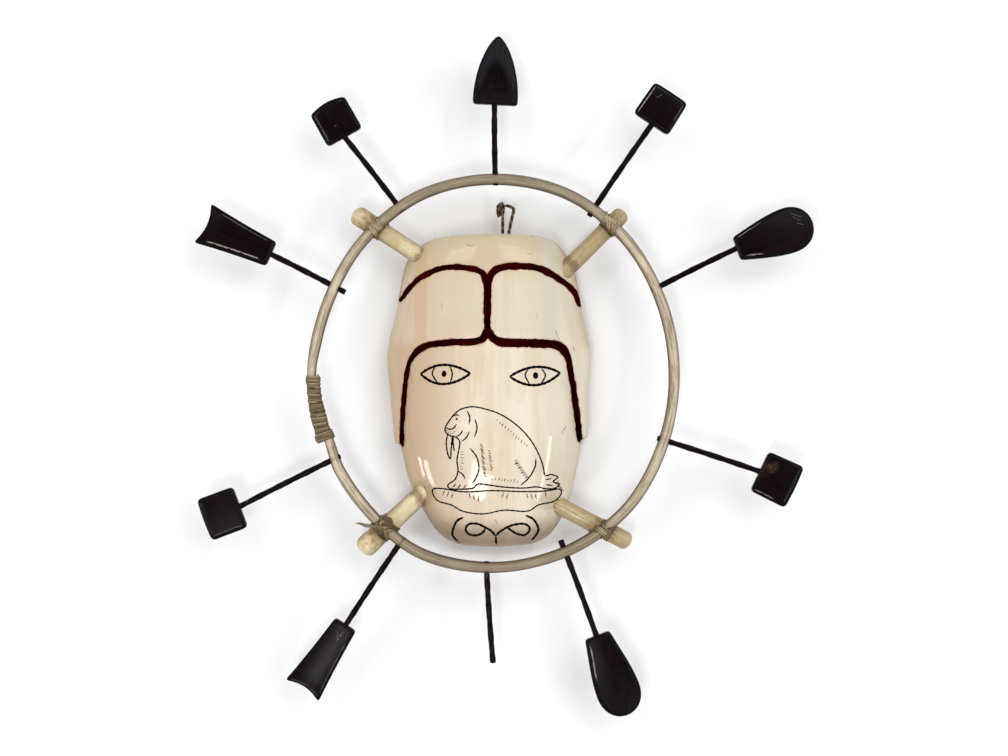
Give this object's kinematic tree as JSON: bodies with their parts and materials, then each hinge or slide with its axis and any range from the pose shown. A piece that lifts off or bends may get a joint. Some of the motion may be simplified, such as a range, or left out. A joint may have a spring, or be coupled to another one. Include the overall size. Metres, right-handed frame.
{
  "type": "ivory spirit mask",
  "caption": "Small carved ivory face mask with a raised hood, lashed by pegs inside a bent wooden hoop with stems and black blades standing out all round.",
  "frame": {"origin": "under the middle of the whole piece, in the plane of the mask's flat back", "axes": "+X to the right of the face as seen from the front, +Y towards the crown, +Z out of the face; the mask lies on its flat back"},
  "size_m": [0.1794, 0.1965, 0.02],
  "materials": {
    "ivory": "polished",
    "peg_ivory": "satin",
    "bent_wood": "satin",
    "sinew": "matte",
    "baleen": "satin",
    "ink": "matte"
  },
  "bodies": {
    "root": {"mask_face": "ivory", "peg_top_left": "peg_ivory", "peg_top_right": "peg_ivory", "peg_bottom_left": "peg_ivory", "peg_bottom_right": "peg_ivory", "hoop": "bent_wood", "splice_wrap": "sinew", "lashing_top_left": "sinew", "lashing_top_right": "sinew", "lashing_bottom_left": "sinew", "lashing_bottom_right": "sinew", "stem_top": "baleen", "stem_upper_left": "baleen", "stem_upper_right": "baleen", "stem_left": "baleen", "stem_right": "baleen", "stem_lower_left": "baleen", "stem_lower_right": "baleen", "stem_bottom_left": "baleen", "stem_bottom_right": "baleen", "stem_bottom_middle": "baleen", "blade_top": "baleen", "blade_upper_left": "baleen", "blade_upper_right": "baleen", "blade_left": "baleen", "blade_right": "baleen", "blade_lower_left": "baleen", "blade_lower_right": "baleen", "blade_bottom_left": "baleen", "blade_bottom_right": "baleen", "hanging_loop": "sinew", "loop_knot": "sinew"}
  },
  "joints": []
}
